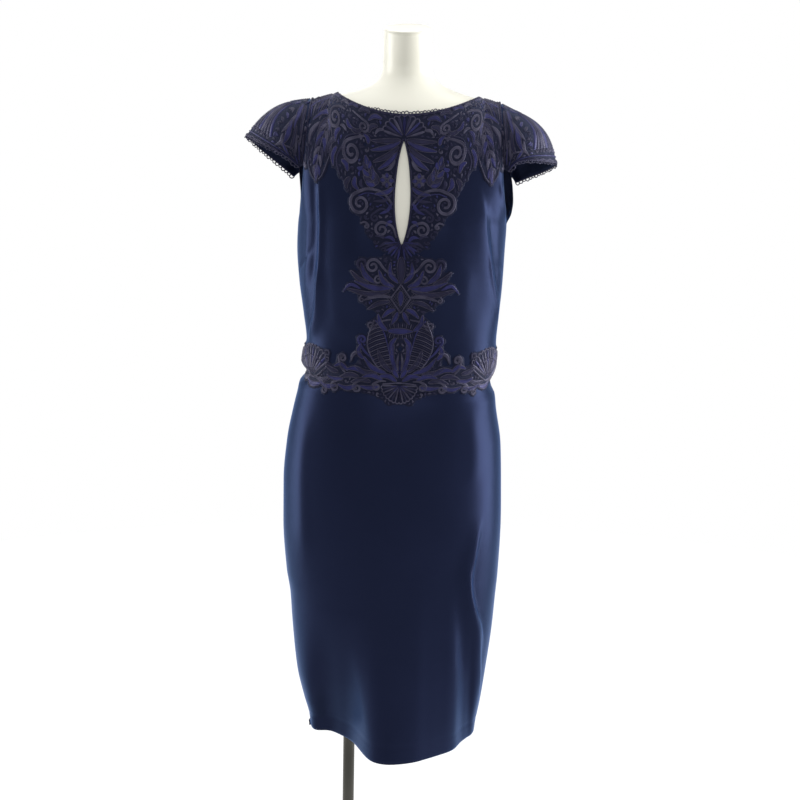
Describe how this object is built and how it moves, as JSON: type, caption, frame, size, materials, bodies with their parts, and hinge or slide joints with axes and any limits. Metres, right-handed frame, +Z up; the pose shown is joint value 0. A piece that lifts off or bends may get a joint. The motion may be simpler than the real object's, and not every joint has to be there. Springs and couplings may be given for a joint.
{
  "type": "cap-sleeve sheath dress on a dress form",
  "caption": "Fitted knee-length sheath dress with cap sleeves, keyhole front and lace panels, worn by a headless dress form on a pole with a round base.",
  "frame": {"origin": "centre of the round base's underside, on the floor", "axes": "+Z up along the pole, the front of the dress faces -Y, +X is the viewer's right when facing the front"},
  "size_m": [0.4848, 0.344, 1.5083],
  "materials": {
    "navy_crepe": "stretch crepe, dark navy, soft satin sheen",
    "embroidered_lace": "embroidered lace, dark navy and violet, raised cords",
    "form_shell": "smooth warm white shell, satin",
    "brushed_steel": "brushed, dull grey",
    "base_paint": "satin pale grey paint"
  },
  "bodies": {
    "root": {"bodice_front": "navy_crepe", "bodice_back_left": "navy_crepe", "bodice_back_right": "navy_crepe", "sleeve_left": "navy_crepe", "sleeve_right": "navy_crepe", "skirt_front": "navy_crepe", "skirt_back_left": "navy_crepe", "skirt_back_right": "navy_crepe", "lace_yoke": "embroidered_lace", "lace_column": "embroidered_lace", "lace_waist": "embroidered_lace", "lace_sleeve_left": "embroidered_lace", "lace_sleeve_right": "embroidered_lace", "form_torso": "form_shell", "pole": "brushed_steel", "pole_collar": "brushed_steel", "base_hub": "brushed_steel", "base_plate": "base_paint"}
  },
  "joints": []
}
